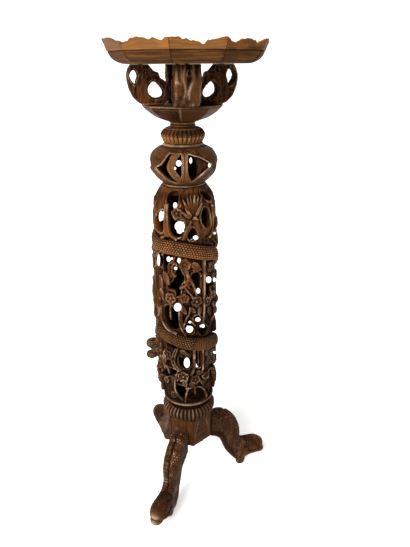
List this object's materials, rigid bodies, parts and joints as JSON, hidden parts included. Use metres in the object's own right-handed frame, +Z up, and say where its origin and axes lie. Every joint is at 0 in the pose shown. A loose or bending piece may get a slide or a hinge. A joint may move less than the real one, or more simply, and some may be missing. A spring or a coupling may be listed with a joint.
{
  "type": "carved tripod stand",
  "caption": "Tall carved hardwood stand: scalloped tray on pierced brackets, pierced bulb, openwork column with a coiled serpent, and a tripod of scrolled legs.",
  "frame": {"origin": "centre of the bounding box at floor level; the column's axis stands at x = -12.65 mm, y = +19.43 mm, and the tray's centre 12.5 mm off the column's axis, at x = -0.60 mm, y = +22.75 mm", "axes": "+Z up along the column, -Y towards the front leg, which points 3.6 degrees to the left of it, +X to the right seen from the front"},
  "size_m": [0.3436, 0.3827, 1.0435],
  "materials": {
    "tray_wood": "waxed, warm brown hardwood boards with visible straight grain, mitre lines and worn lighter lips",
    "carved_wood": "polished dark red-brown hardwood, near-black in the carved recesses, tan where the high edges are rubbed",
    "dowel_wood": "plain unfinished wood, hidden in the joints"
  },
  "bodies": {
    "root": {"tray_floor": "tray_wood", "tray_rim_1": "tray_wood", "tray_rim_2": "tray_wood", "tray_rim_3": "tray_wood", "tray_rim_4": "tray_wood", "tray_rim_5": "tray_wood", "tray_rim_6": "tray_wood", "tray_rim_7": "tray_wood", "tray_rim_8": "tray_wood", "tray_rim_9": "tray_wood", "tray_rim_10": "tray_wood", "cup_bracket_front": "carved_wood", "cup_bracket_right": "carved_wood", "cup_bracket_back": "carved_wood", "cup_bracket_left": "carved_wood", "dowel_tray_1": "dowel_wood", "dowel_tray_2": "dowel_wood", "dowel_tray_3": "dowel_wood", "dowel_tray_4": "dowel_wood", "dowel_cup_1": "dowel_wood", "dowel_cup_2": "dowel_wood", "dowel_cup_3": "dowel_wood", "dowel_cup_4": "dowel_wood", "cup_bowl": "carved_wood", "neck_ring": "carved_wood", "gadroon_collar": "carved_wood", "bulb": "carved_wood", "neck_spigot": "dowel_wood", "bulb_spigot": "dowel_wood", "column": "carved_wood", "base_ring": "carved_wood", "base_spigot": "dowel_wood", "base_block": "carved_wood", "leg_front": "carved_wood", "leg_right": "carved_wood", "leg_left": "carved_wood"}
  },
  "joints": []
}
